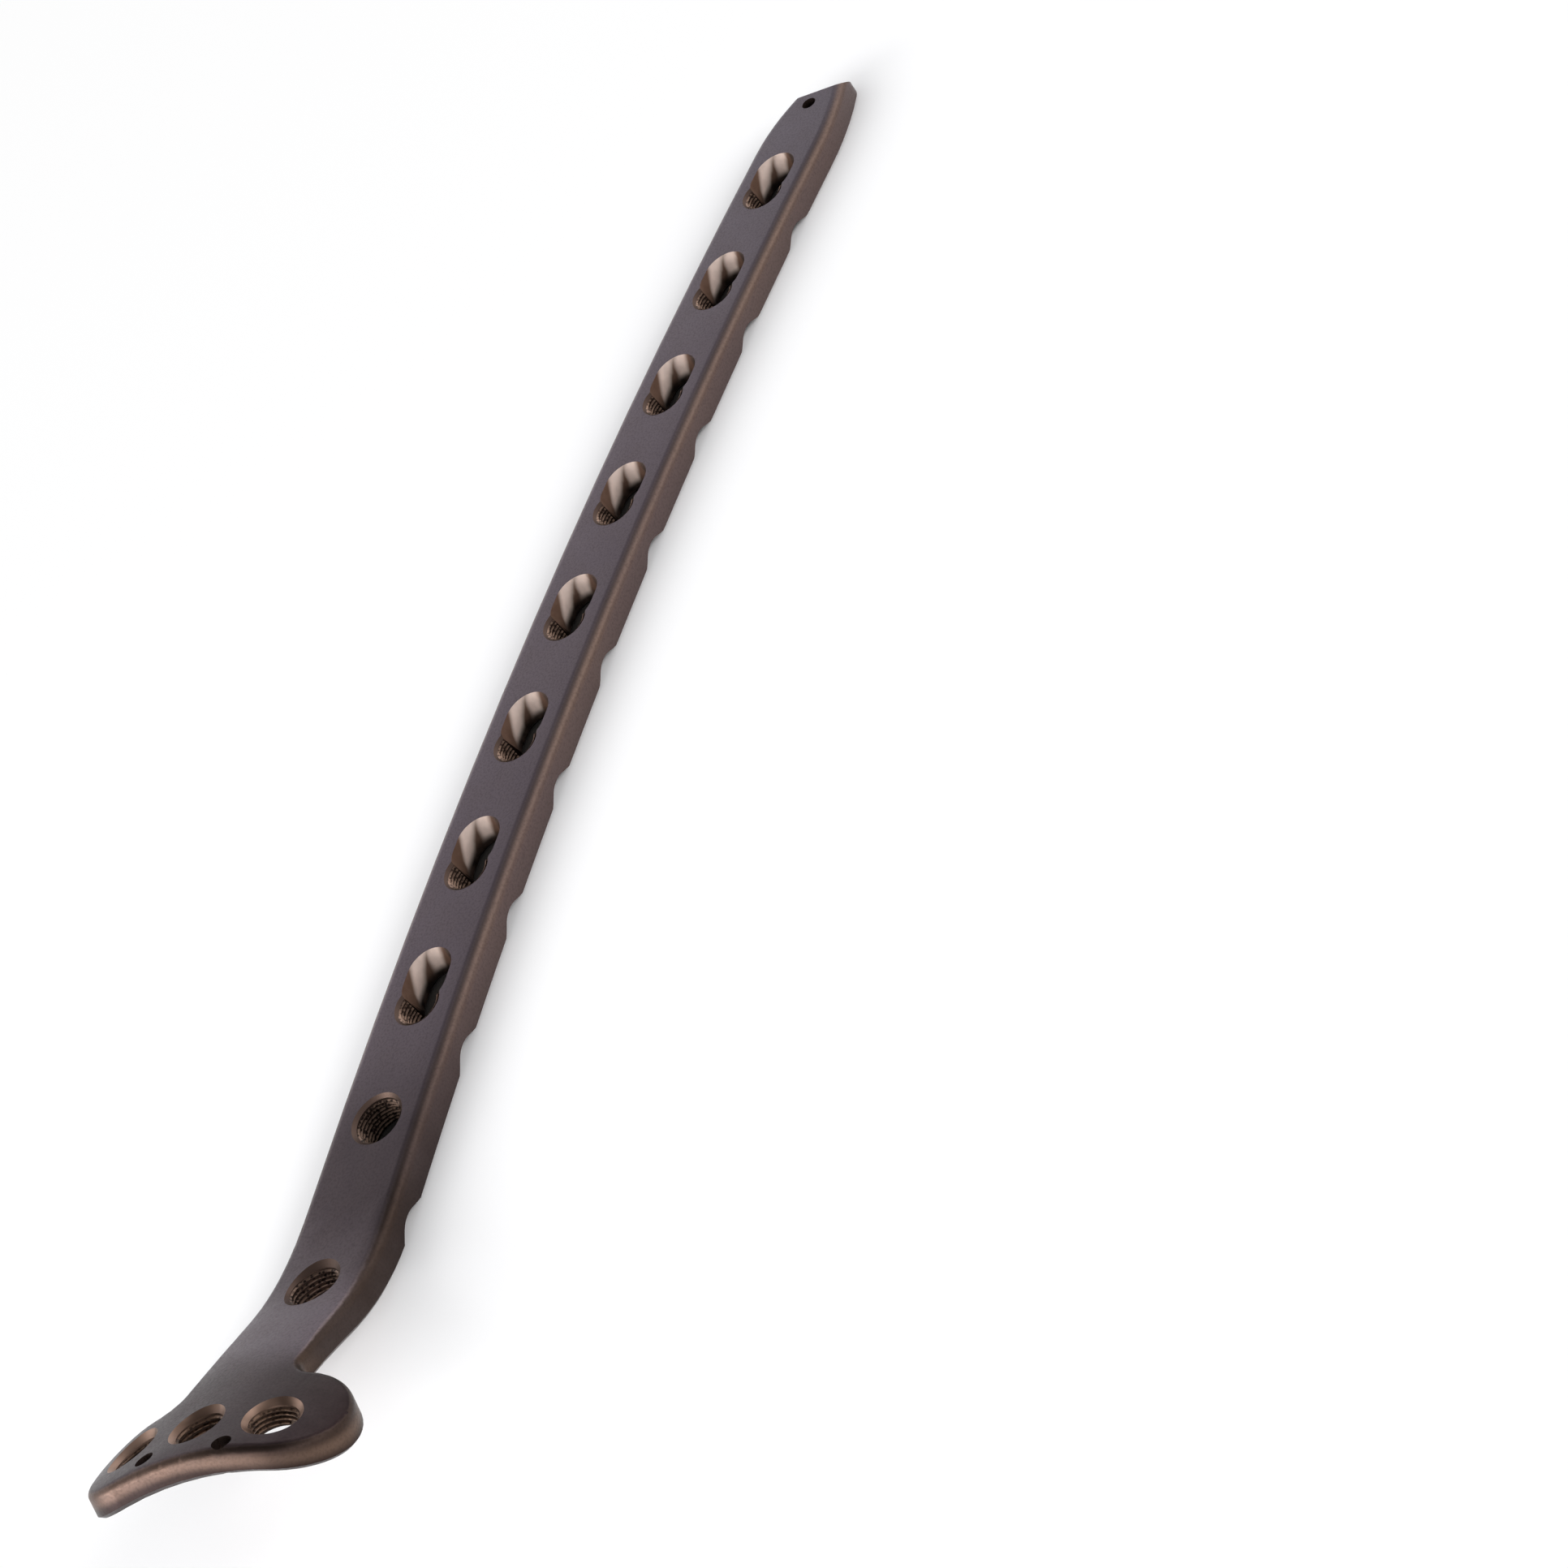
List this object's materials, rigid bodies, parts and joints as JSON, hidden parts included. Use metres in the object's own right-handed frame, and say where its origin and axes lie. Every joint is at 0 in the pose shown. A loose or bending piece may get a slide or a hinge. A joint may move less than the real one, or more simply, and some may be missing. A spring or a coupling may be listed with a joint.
{
  "type": "bone plate",
  "caption": "T shaped metal bone plate: long gently bowed shaft with combination screw holes, bent neck and curved head with round threaded holes.",
  "frame": {"origin": "on the bone side, on the axis of the round hole next to the combination holes", "axes": "+X along the shaft from the head towards the tip, +Z out of the bone along that hole, +Y to the left of the shaft seen from above"},
  "size_m": [0.2133, 0.031, 0.0185],
  "materials": {
    "plate": "satin anodised, dark grey mauve with bronze edges and hole walls"
  },
  "bodies": {
    "root": {"bone_plate": "plate"}
  },
  "joints": []
}
